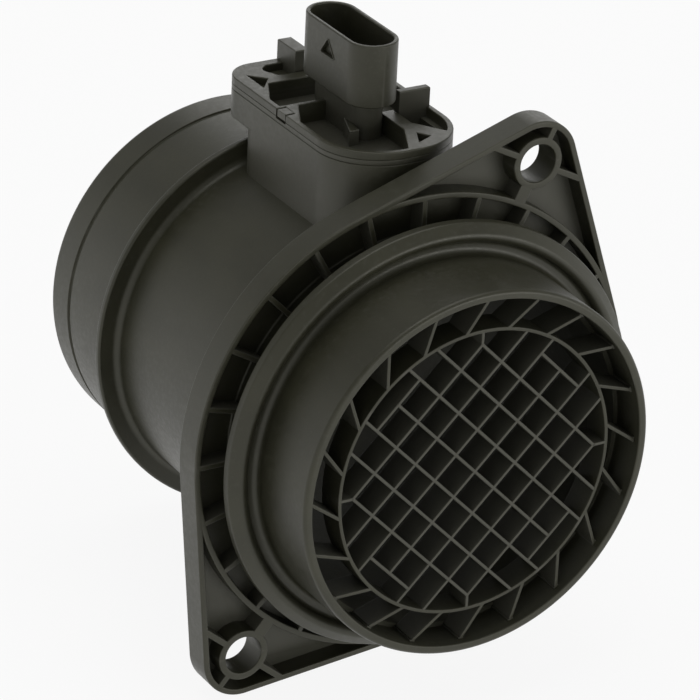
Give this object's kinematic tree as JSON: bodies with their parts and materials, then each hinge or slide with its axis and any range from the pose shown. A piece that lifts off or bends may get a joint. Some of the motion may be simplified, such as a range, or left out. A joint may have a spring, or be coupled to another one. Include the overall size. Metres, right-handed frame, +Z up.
{
  "type": "mass airflow sensor",
  "caption": "Black plastic air duct with a ribbed two-bolt flange, guarded round inlet, outlet spigot and a plug-in hot-film sensor module with an electrical connector.",
  "frame": {"origin": "on the duct axis, in the mounting plane of the flange (its inlet-side face)", "axes": "+Y along the duct from inlet to outlet, the way the air flows; +Z up along the sensor module to the open end of the connector; +X to the right seen from the inlet"},
  "size_m": [0.0908, 0.1, 0.1153],
  "materials": {
    "housing": "satin black glass-filled plastic",
    "grid": "satin black plastic",
    "module": "satin black glass-filled plastic",
    "cover": "satin black plastic",
    "seal": "matte rubber",
    "aluminium": "bare aluminium",
    "board": "pale ceramic circuit board",
    "chip": "moulded chip package",
    "capacitor": "tan ceramic",
    "silicon": "polished silicon",
    "bead": "epoxy bead",
    "contact": "tin-plated contact metal"
  },
  "bodies": {
    "root": {"flow_tube": "housing", "inlet_grid": "grid", "sensor_module": "module", "module_seal": "seal", "bypass_cover": "cover", "electronics_cover": "cover", "base_plate": "aluminium", "circuit_board": "board", "control_chip": "chip", "chip_holder": "module", "sensor_chip": "silicon", "board_capacitors": "capacitor", "board_resistors": "chip", "thermistor": "bead", "thermistor_leads": "contact", "terminal_1": "contact", "terminal_2": "contact", "terminal_3": "contact", "terminal_4": "contact", "terminal_5": "contact"}
  },
  "joints": []
}
